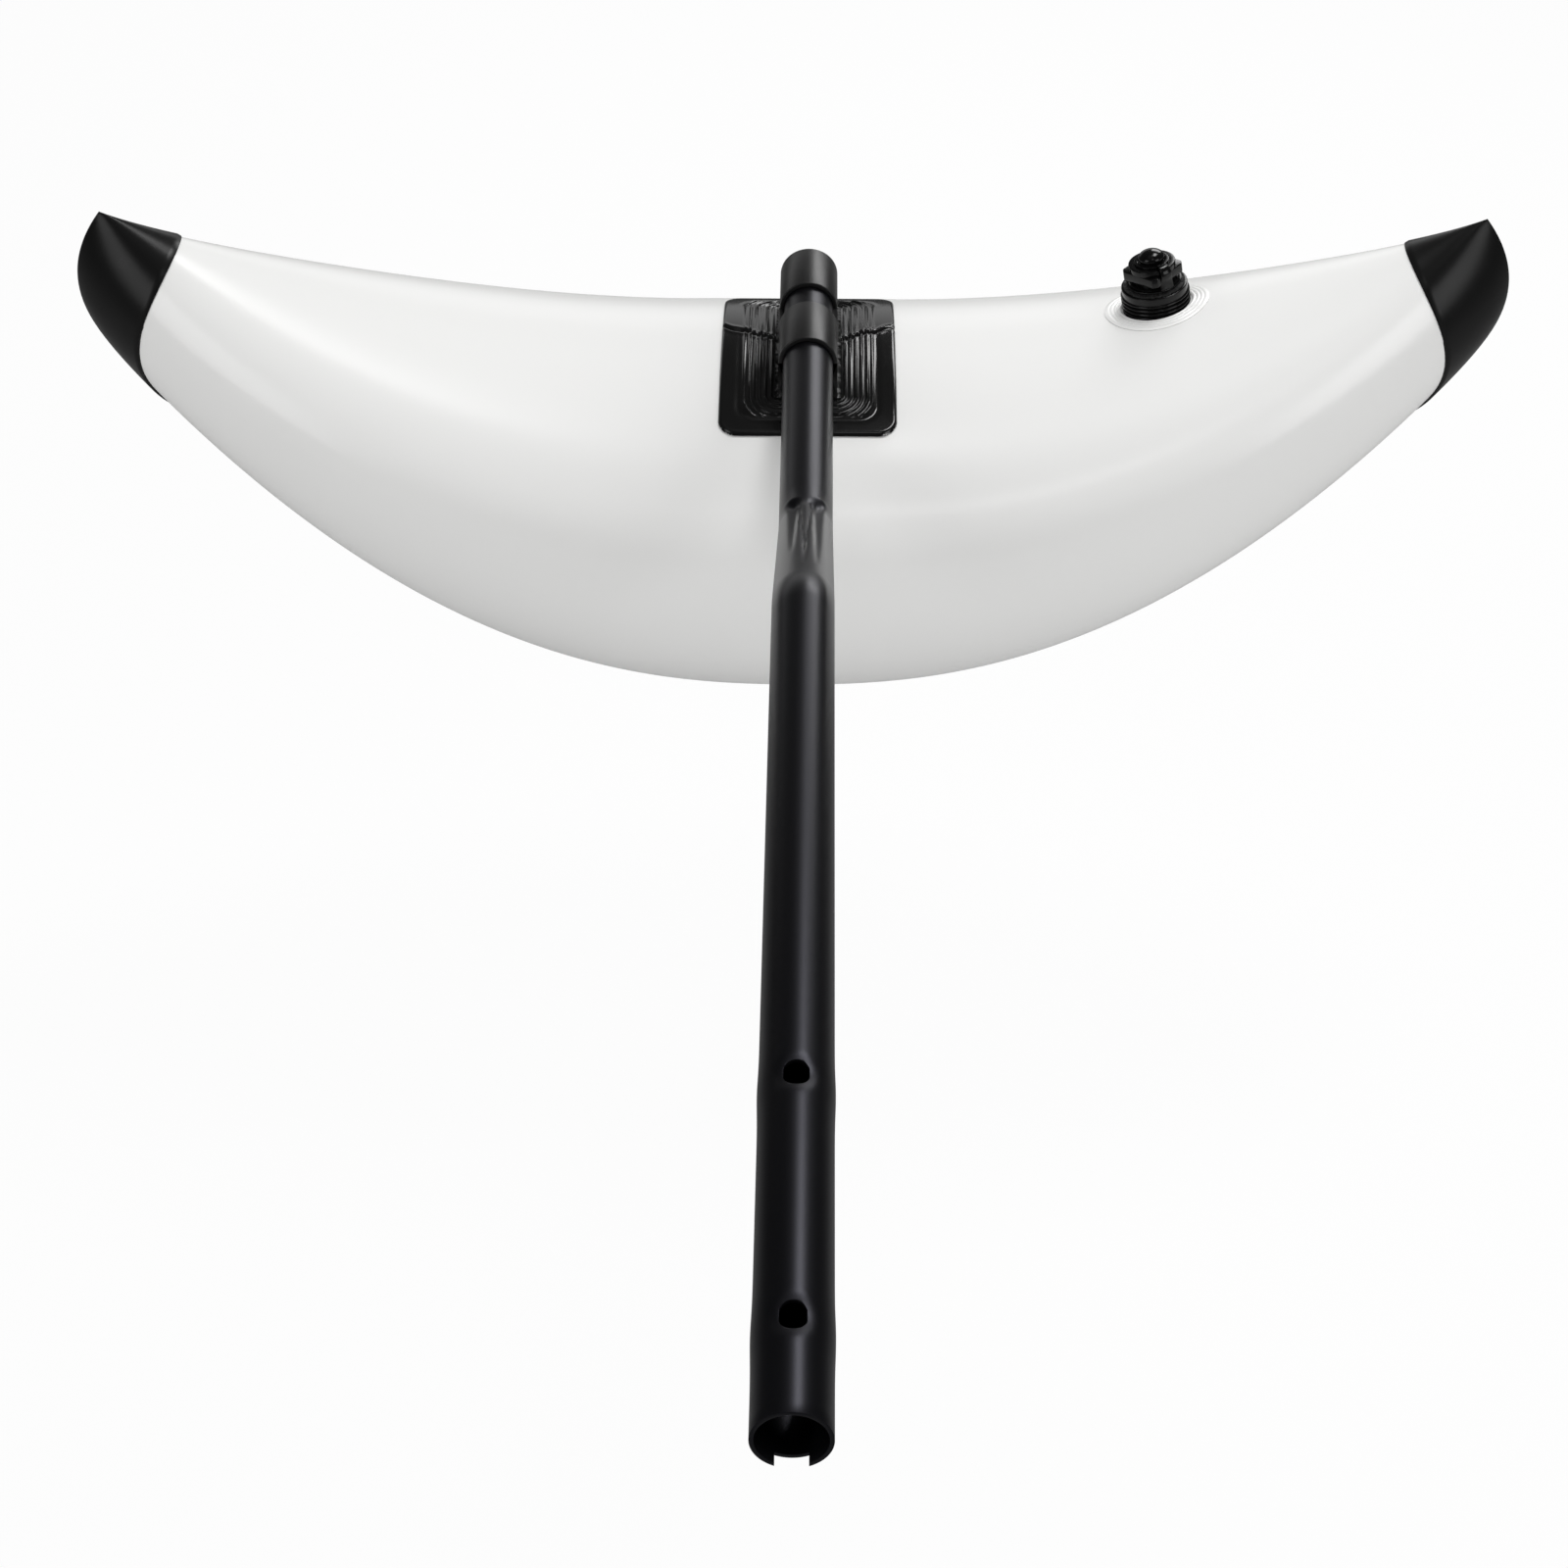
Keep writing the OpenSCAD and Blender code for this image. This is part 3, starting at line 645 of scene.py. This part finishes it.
class OUTRIGGER_OT_pad(bpy.types.Operator):
    """Makes the welded pad with its nested ridges and the fold across the deck's crown."""

    bl_idname = "outrigger.pad"
    bl_label = "Mounting pad"

    def outline(self, x, y, half_x, half_y, corner):
        """Distance outside a rounded rectangle, negative inside it."""
        past_x = abs(x) - (half_x - corner)
        past_y = abs(y) - (half_y - corner)
        return math.hypot(max(past_x, 0), max(past_y, 0)) + min(max(past_x, past_y), 0) - corner

    def relief(self, mount, x, y):
        """Height of the pad's face above the deck."""
        half_x, half_y = mount.pad_width / 2, mount.pad_length / 2
        rim = -self.outline(x, y, half_x, half_y, mount.pad_corner)
        height = mount.pad_thickness * math.sqrt(max(0.0, 1 - (1 - min(rim / 0.0022, 1)) ** 2))
        inner = -self.outline(x, y, half_x - 0.0145, half_y - 0.0125, 0.01)
        height += 0.0007 * smooth_step(inner / 0.003 + 0.5) - 0.0003 * hump(inner + 0.002, 0.002)
        beside = self.outline(x, y, mount.sleeve_r + 0.0022, mount.sleeve_length / 2 + 0.0005, 0.003)
        rows = beside / mount.ridge_pitch
        if 0.25 < rows < 6.25 and inner > 0:
            uneven = 0.75 + 0.25 * math.sin(55 * y + 140 * x + 3 * math.floor(rows))
            crest = 0.5 - 0.5 * math.cos(2 * math.pi * (rows - 0.25))
            height += mount.ridge_height * uneven * crest**2 * smooth_step(inner / 0.002)
        reach = min(max((abs(x) - 0.019) / 0.0385, 0), 1)
        fold = 0.001 * math.sin(400 * x) + 0.027 * reach + 0.004 * (1 - reach)
        height -= (0.0014 + 0.0009 * (1 - reach)) * hump(y - fold, 0.0017) * smooth_step(rim / 0.002)
        height += 0.0004 * hump(abs(y - fold) - 0.0042, 0.0022)
        return max(height, 0.0001)

    def execute(self, context):
        mount = context.scene.outrigger_mount
        sizes = context.scene.outrigger_float
        half_x, half_y = mount.pad_width / 2, mount.pad_length / 2
        crown_r = 0.97 * (sizes.width / 2) ** 2 / (0.34 * sizes.depth)
        deselect()
        bpy.ops.mesh.primitive_grid_add(x_subdivisions=188, y_subdivisions=286, size=2)
        pad = context.object
        pad.scale = (half_x, half_y, 1)
        settle(pad)
        edit(pad, "VERT")
        mesh = bmesh.from_edit_mesh(pad.data)
        for vertex in mesh.verts:
            away = self.outline(vertex.co.x, vertex.co.y, half_x, half_y, mount.pad_corner)
            vertex.select = away > 0.00035
        bmesh.update_edit_mesh(pad.data)
        bpy.ops.mesh.delete(type="VERT")
        leave()
        for vertex in pad.data.vertices:
            x, y = vertex.co.x, vertex.co.y
            away = self.outline(x, y, half_x, half_y, mount.pad_corner)
            if away > -0.00025 and abs(x) > half_x - mount.pad_corner and abs(y) > half_y - mount.pad_corner:
                middle = Vector((math.copysign(half_x - mount.pad_corner, x), math.copysign(half_y - mount.pad_corner, y)))
                x, y = middle + (Vector((x, y)) - middle).normalized() * mount.pad_corner
            radius = crown_r + self.relief(mount, x, y)
            z = sizes.deck_z - crown_r + math.sqrt(radius * radius - y * y)
            vertex.co = (x, sizes.middle_y + y, z)
        close_rim(pad)
        shade(pad, 70)
        seat(pad, "ridged_pad", "float", "pad_gloss", "black_trim", "mount_pad")
        return {"FINISHED"}


class OUTRIGGER_OT_sleeve(bpy.types.Operator):
    """Makes the sleeve's two turned bands and softens a copy of its cradle."""

    bl_idname = "outrigger.sleeve"
    bl_label = "Sleeve"

    def execute(self, context):
        mount = context.scene.outrigger_mount
        arm = context.scene.outrigger_arm
        middle = context.scene.outrigger_float.middle_y
        band = (mount.sleeve_length - mount.window) / 2
        bore, outer = mount.bore_r, mount.sleeve_r
        profile = rounded(
            [(bore, 0), (outer, 0), (outer, band), (bore, band)],
            [0.0004, 0.0009, 0.0009, 0.0004],
        )
        starts = (middle - mount.sleeve_length / 2, middle + mount.sleeve_length / 2 - band)
        for name, start in zip(("front", "rear"), starts):
            ring = turned(profile + [profile[0]], 96)
            ring.rotation_euler = (-math.pi / 2, 0, 0)
            ring.location = (0, start, -arm.drop)
            settle(ring)
            weld(ring)
            shade(ring, 40)
            seat(ring, f"sleeve_band_{name}", "float", "sleeve_satin", "black_trim", f"band_{name}")
        cradle = merged_copy("sleeve_cradle")
        shade(cradle, 30)
        seat(cradle, "sleeve_saddle", "float", "sleeve_satin", "black_trim", "sleeve_cradle")
        return {"FINISHED"}


def merged_copy(name):
    """A copy of a CAD node with its loose triangles merged, free to be softened."""
    source = NODES[name]
    piece = bpy.data.objects.new(name + "_copy", source.data.copy())
    bpy.context.scene.collection.objects.link(piece)
    weld(piece)
    return piece


class OUTRIGGER_OT_valve(bpy.types.Operator):
    """Makes the air valve: the welded patch, the ribbed boot, the insert, the plug and its tether."""

    bl_idname = "outrigger.valve"
    bl_label = "Air valve"

    def stand(self, piece, valve):
        piece.location = valve.place
        piece.rotation_euler = (0, -valve.lean, 0)
        return settle(piece)

    def execute(self, context):
        valve = context.scene.outrigger_valve
        form = FloatForm(context.scene.outrigger_float)
        self.make_patch(valve, form)
        self.make_boot(valve)
        self.make_insert(valve)
        self.make_plug(valve)
        self.make_tether(valve)
        self.make_inner_pieces()
        return {"FINISHED"}

    def make_patch(self, valve, form):
        inner = valve.boot_r + 0.0006
        pitch = (valve.patch_r - inner - 0.0008) / 4
        profile = []
        for i in range(41):
            wave = abs(math.sin(math.pi * i / 10))
            fall = 1 - i / 60
            profile.append((inner + pitch * i / 10, 0.0004 + 0.0009 * wave * fall))
        profile.append((valve.patch_r, 0.0001))
        patch = turned(profile, 128)
        for vertex in patch.data.vertices:
            x = valve.place[0] + vertex.co.x * math.cos(valve.lean)
            y = valve.place[1] + vertex.co.y
            vertex.co = (x, y, form.deck_height(x, y) + vertex.co.z)
        weld(patch)
        apply_modifier(patch, "SOLIDIFY", thickness=0.0003, offset=-1)
        shade(patch, 70)
        seat(patch, "rippled_patch", "float", "float_skin", "float_skin", "valve_patch")

    def make_boot(self, valve):
        inner = valve.barrel_r + 0.00015
        profile = [(valve.boot_r - 0.0002, -0.006), (valve.boot_r - 0.0002, -0.0004)]
        ribs = 4
        tall = (valve.boot_height - 0.0046) / ribs
        for i in range(ribs):
            for k in range(8):
                angle_on = 2 * math.pi * k / 8
                groove = 0.5 - 0.5 * math.cos(angle_on)
                profile.append((valve.boot_r - 0.0017 * (1 - groove**0.45), tall * (i + k / 8)))
        top = tall * ribs
        collar = valve.boot_r - 0.0009
        profile += [(collar - 0.0001, top), (collar, top + 0.0006), (collar, valve.boot_height - 0.0009)]
        profile += fillet(
            (collar, valve.boot_height), (collar, valve.boot_height - 0.002), (inner, valve.boot_height), 0.0007
        )
        profile += [(inner, valve.boot_height), (inner, -0.006)]
        boot = turned(profile + [profile[0]], 96)
        weld(self.stand(boot, valve))
        shade(boot, 40)
        seat(boot, "ribbed_boot", "float", "valve_moulding", "valve_black", "valve_boot")

    def make_insert(self, valve):
        """Barrel, neck, cut-cornered grip and top disc, with the plug's bore through them."""
        neck = valve.barrel_r + 0.0025
        waist = valve.barrel_r - 0.0008
        collar = turned(
            [(0.0106, -0.004), (0.014, -0.004), (0.014, 0.0171), (neck, 0.0172)]
            + [(neck, 0.0190), (neck - 0.0006, 0.0195), (waist, 0.0197), (waist, 0.0223), (0.0106, 0.0223), (0.0106, -0.004)],
            72,
        )
        deselect()
        bpy.ops.mesh.primitive_cube_add(size=1, location=(0, 0, 0.0255))
        grip = bpy.context.object
        grip.scale = (valve.grip_width, valve.grip_width, 0.0064)
        grip.rotation_euler = (0, 0, math.radians(45))
        settle(grip)
        self.cut_corners(grip, 0.0192)
        apply_modifier(grip, "BEVEL", width=0.0007, segments=3, limit_method="ANGLE", angle_limit=math.radians(30))
        disc = turned(
            rounded(
                [(0.0091, 0.0285), (0.0154, 0.0285), (0.0154, 0.0322), (0.0091, 0.0322)],
                [0, 0, 0.0008, 0.0005],
            )
            + [(0.0091, 0.0285)],
            72,
        )
        for piece in (collar, disc):
            weld(piece)
        deselect()
        for piece in (collar, grip, disc):
            piece.select_set(True)
        bpy.context.view_layer.objects.active = grip
        bpy.ops.object.join()
        body = bpy.context.object
        self.stand(body, valve)
        shade(body, 34)
        seat(body, "insert_grip", "insert", "valve_moulding", "valve_black", "valve_insert")
        ring = merged_copy("insert_gasket")
        shade(ring, 34)
        seat(ring, "insert_ring", "insert", "soft_seal", "seal_rubber", "insert_gasket")

    def make_inner_pieces(self):
        """Smooth copies of the pieces that the valve hides."""
        inner = (
            ("valve_flange", "inner_flange", "float", "float_skin", "float_skin"),
            ("flap", "check_flap", "insert", "soft_seal", "seal_rubber"),
            ("flap_stud", "flap_rivet", "insert", "soft_seal", "seal_rubber"),
            ("plug_seal", "plug_ring", "plug", "soft_seal", "seal_rubber"),
        )
        for source, name, body, finish, slot in inner:
            piece = merged_copy(source)
            shade(piece, 34)
            seat(piece, name, body, finish, slot, source)

    def cut_corners(self, grip, reach):
        """Bisects each corner of the grip at the reach given from the axis."""
        for turn in range(4):
            out = Vector((math.cos(turn * math.pi / 2), math.sin(turn * math.pi / 2), 0))
            edit(grip, "FACE")
            bpy.ops.mesh.bisect(
                plane_co=out * reach, plane_no=out, use_fill=True, clear_outer=True, clear_inner=False
            )
            leave()

    def make_plug(self, valve):
        """Shank, waist and shallow domed head."""
        seat_z = 0.0322
        head = 0.0086
        profile = [(0.00001, seat_z - 0.0075), (0.00785, seat_z - 0.0075), (0.00785, seat_z + 0.0001)]
        profile += [(0.0089, seat_z + 0.0001), (0.0079, seat_z + 0.0008), (0.0079, seat_z + 0.0026), (head - 0.0004, seat_z + 0.0026)]
        profile += [(head, seat_z + 0.003), (head, seat_z + 0.0036)]
        rise = 0.0045
        for k in range(1, 15):
            lean = k / 14 * math.pi / 2
            profile.append((max(head * math.cos(lean), 0.00001), seat_z + 0.0036 + rise * math.sin(lean) ** 1.15))
        plug = turned(profile, 72)
        weld(self.stand(plug, valve), 0.00003)
        shade(plug, 36)
        seat(plug, "domed_plug", "plug", "valve_moulding", "valve_black", "plug_cap")

    def make_tether(self, valve):
        """A strap bent from the plug's waist over the disc and down to the insert's neck."""
        path = [(0.0090, 0.0331), (0.0115, 0.0342), (0.0140, 0.0344), (0.0162, 0.0336), (0.0178, 0.0317)]
        path += [(0.0184, 0.0296), (0.0181, 0.0276), (0.0174, 0.0258), (0.0170, 0.0238), (0.0171, 0.0212)]
        path += [(0.0174, 0.0188)]
        widths = [0.0050, 0.0056, 0.0063, 0.0069, 0.0073, 0.0075, 0.0077, 0.0082, 0.0088, 0.0092, 0.0094]
        deselect()
        bpy.ops.mesh.primitive_plane_add(size=1)
        strap = bpy.context.object
        edit(strap, "VERT")
        bpy.ops.mesh.subdivide(number_cuts=9)
        leave()
        for vertex in strap.data.vertices:
            place = (vertex.co.x + 0.5) * (len(path) - 1)
            at = min(int(place + 1e-6), len(path) - 2)
            part = place - at
            r = path[at][0] + (path[at + 1][0] - path[at][0]) * part
            z = path[at][1] + (path[at + 1][1] - path[at][1]) * part
            wide = widths[at] + (widths[at + 1] - widths[at]) * part
            side = vertex.co.y * wide
            vertex.co = (r - 0.0006 * (2 * vertex.co.y) ** 2, side, z)
        apply_modifier(strap, "SOLIDIFY", thickness=0.0013, offset=0)
        apply_modifier(strap, "BEVEL", width=0.0003, segments=2, limit_method="ANGLE", angle_limit=math.radians(50))
        apply_modifier(strap, "SUBSURF", levels=1)
        strap.rotation_euler = (0, 0, math.radians(-63))
        settle(strap)
        rings = []
        for inner, outer, low in ((0.0095, 0.0114, 0.0323), (0.0166, 0.0182, 0.0177)):
            ring = turned(
                rounded([(inner, low), (outer, low), (outer, low + 0.0012), (inner, low + 0.0012)], [0, 0.0003, 0.0003, 0])
                + [(inner, low)],
                64,
            )
            weld(ring)
            rings.append(ring)
        deselect()
        for piece in [strap] + rings:
            piece.select_set(True)
        bpy.context.view_layer.objects.active = strap
        bpy.ops.object.join()
        self.stand(bpy.context.object, valve)
        shade(bpy.context.object, 40)
        seat(bpy.context.object, "plug_strap", "insert", "valve_moulding", "valve_black", "cap_tether")


class OUTRIGGER_OT_finishes(bpy.types.Operator):
    """Makes the materials and gives each carried-over node its own."""

    bl_idname = "outrigger.finishes"
    bl_label = "Materials"

    def execute(self, context):
        finish = context.scene.outrigger_finish
        skin_material(finish.skin)
        trim_material(finish.trim)
        sleeve_material(finish.sleeve)
        pad_material(finish.trim)
        coat_material(finish.coat)
        moulding_material(finish.moulding)
        seal_material(finish.seal)
        slots = {row["node"]: row["material_slot"] for row in frame["record"]["subparts"]}
        for name, piece in NODES.items():
            dress(piece, FINISH_OF_SLOT[slots[name]])
            pick(piece)
            bpy.ops.object.shade_smooth_by_angle(angle=math.radians(32))
        deselect()
        return {"FINISHED"}


def backdrop_material(tint):
    """A pale floor that a direct look sees as almost white, with a faint shadow of the object."""
    made = bpy.data.materials.new("studio_floor")
    made.use_nodes = True
    tree = made.node_tree
    shader = tree.nodes["Principled BSDF"]
    shader.inputs["Base Color"].default_value = (*tint, 1)
    shader.inputs["Roughness"].default_value = 0.9
    shader.inputs["Specular IOR Level"].default_value = 0.1
    look = tree.nodes.new("ShaderNodeLightPath")
    clean = node(tree, "ShaderNodeEmission", in_Color=(1, 1, 1, 1), in_Strength=1.0)
    share = node(tree, "ShaderNodeMath", operation="MULTIPLY")
    share.inputs[1].default_value = 0.94
    mix = tree.nodes.new("ShaderNodeMixShader")
    out = next(n for n in tree.nodes if n.type == "OUTPUT_MATERIAL")
    dim = node(tree, "ShaderNodeBsdfDiffuse", in_Color=(0.3, 0.3, 0.3, 1))
    soft = tree.nodes.new("ShaderNodeMixShader")
    tree.links.new(look.outputs["Is Glossy Ray"], soft.inputs[0])
    tree.links.new(shader.outputs[0], soft.inputs[1])
    tree.links.new(dim.outputs[0], soft.inputs[2])
    tree.links.new(look.outputs["Is Camera Ray"], share.inputs[0])
    tree.links.new(share.outputs[0], mix.inputs[0])
    tree.links.new(soft.outputs[0], mix.inputs[1])
    tree.links.new(clean.outputs[0], mix.inputs[2])
    tree.links.new(mix.outputs[0], out.inputs["Surface"])
    return made


class OUTRIGGER_OT_stage(bpy.types.Operator):
    """Makes the floor, the lamps, the white surround and the camera."""

    bl_idname = "outrigger.stage"
    bl_label = "Stage"

    def execute(self, context):
        stage = context.scene.outrigger_stage
        deselect()
        floor_z = -context.scene.outrigger_arm.drop - stage.floor_depth
        bpy.ops.mesh.primitive_plane_add(size=14, location=(0, 0.6, floor_z))
        floor = context.object
        floor.name = "studio_floor"
        floor.data.materials.append(backdrop_material(stage.floor))

        world = bpy.data.worlds.new("studio_white")
        context.scene.world = world
        world.use_nodes = True
        tree = world.node_tree
        tree.nodes.clear()
        look = tree.nodes.new("ShaderNodeLightPath")
        seen = node(tree, "ShaderNodeBackground", in_Color=(1, 1, 1, 1), in_Strength=1.0)
        fill = node(tree, "ShaderNodeBackground", in_Color=(1, 1, 1, 1), in_Strength=0.36)
        mix = tree.nodes.new("ShaderNodeMixShader")
        out = tree.nodes.new("ShaderNodeOutputWorld")
        gloss = node(tree, "ShaderNodeBackground", in_Color=(1, 1, 1, 1), in_Strength=0.06)
        soft = tree.nodes.new("ShaderNodeMixShader")
        tree.links.new(look.outputs["Is Glossy Ray"], soft.inputs[0])
        tree.links.new(fill.outputs[0], soft.inputs[1])
        tree.links.new(gloss.outputs[0], soft.inputs[2])
        tree.links.new(look.outputs["Is Camera Ray"], mix.inputs[0])
        tree.links.new(soft.outputs[0], mix.inputs[1])
        tree.links.new(seen.outputs[0], mix.inputs[2])
        tree.links.new(mix.outputs[0], out.inputs["Surface"])

        lamps = (
            ("lamp_rear", (0.62, 1.75, 2.2), (0.0, 0.3, 0.0), 0.6, 1.0, 25.0),
            ("lamp_low", (0.62, 2.42, 0.68), (0.0, 1.02, -0.1), 0.8, 0.55, 8.0),
            ("lamp_back", (-0.2, 3.2, 0.25), (0.0, 1.0, -0.1), 3.0, 0.7, 4.5),
            ("lamp_top", (-0.3, 1.0, 2.2), (0.0, 0.9, -0.15), 1.6, 1.2, 1.0),
            ("lamp_front", (0.2, -0.2, 1.9), (0.0, 0.95, -0.15), 0.5, 0.35, 1.6),
            ("lamp_left", (-1.9, -0.6, 0.9), (0.0, 0.9, -0.2), 1.2, 1.6, 15.0),
            ("lamp_right", (1.9, -0.6, 0.9), (0.0, 0.9, -0.2), 1.2, 1.6, 17.0),
        )
        for name, place, target, wide, high, power in lamps:
            bpy.ops.object.light_add(type="AREA", location=place)
            lamp = context.object
            lamp.name = name
            lamp.data.shape = "RECTANGLE"
            lamp.data.size = wide
            lamp.data.size_y = high
            lamp.data.energy = power
            aim = Vector(target) - Vector(place)
            lamp.rotation_euler = aim.to_track_quat("-Z", "Y").to_euler()

        bpy.ops.object.camera_add(
            location=(stage.camera_side, -stage.camera_back, stage.camera_height),
            rotation=(stage.pitch, 0, stage.turn),
        )
        camera = context.object
        camera.name = "photo_camera"
        camera.data.lens = stage.lens
        camera.data.sensor_width = 36
        camera.data.shift_x = -6 / 1600
        camera.data.clip_start = 0.01
        context.scene.camera = camera
        context.scene.view_settings.view_transform = "Standard"
        deselect()
        return {"FINISHED"}


class OUTRIGGER_PT_sidebar(bpy.types.Panel):
    """Lists the outrigger's pieces and sizes in the 3D view's sidebar."""

    bl_idname = "OUTRIGGER_PT_sidebar"
    bl_label = "Outrigger"
    bl_space_type = "VIEW_3D"
    bl_region_type = "UI"
    bl_category = "Outrigger"

    def draw(self, context):
        layout = self.layout
        for maker in OPERATORS:
            layout.operator(maker.bl_idname)
        for group in (
            context.scene.outrigger_arm,
            context.scene.outrigger_float,
            context.scene.outrigger_mount,
            context.scene.outrigger_valve,
            context.scene.outrigger_finish,
            context.scene.outrigger_stage,
        ):
            box = layout.box()
            for name in group.__annotations__:
                box.prop(group, name)


GROUPS = {
    "outrigger_arm": OutriggerArm,
    "outrigger_float": OutriggerFloat,
    "outrigger_mount": OutriggerMount,
    "outrigger_valve": OutriggerValve,
    "outrigger_finish": OutriggerFinish,
    "outrigger_stage": OutriggerStage,
}
OPERATORS = (
    OUTRIGGER_OT_finishes,
    OUTRIGGER_OT_arm,
    OUTRIGGER_OT_float,
    OUTRIGGER_OT_end_caps,
    OUTRIGGER_OT_pad,
    OUTRIGGER_OT_sleeve,
    OUTRIGGER_OT_valve,
    OUTRIGGER_OT_stage,
)


def register():
    for name, group in GROUPS.items():
        bpy.utils.register_class(group)
        setattr(bpy.types.Scene, name, bpy.props.PointerProperty(type=group))
    for maker in OPERATORS:
        bpy.utils.register_class(maker)
    bpy.utils.register_class(OUTRIGGER_PT_sidebar)


def unregister():
    bpy.utils.unregister_class(OUTRIGGER_PT_sidebar)
    for maker in reversed(OPERATORS):
        bpy.utils.unregister_class(maker)
    for name, group in GROUPS.items():
        delattr(bpy.types.Scene, name)
        bpy.utils.unregister_class(group)


def main():
    register()
    bpy.ops.outrigger.finishes()
    bpy.ops.outrigger.arm()
    bpy.ops.outrigger.float()
    bpy.ops.outrigger.end_caps()
    bpy.ops.outrigger.pad()
    bpy.ops.outrigger.sleeve()
    bpy.ops.outrigger.valve()
    bpy.ops.outrigger.stage()


if __name__ == "__main__":
    main()
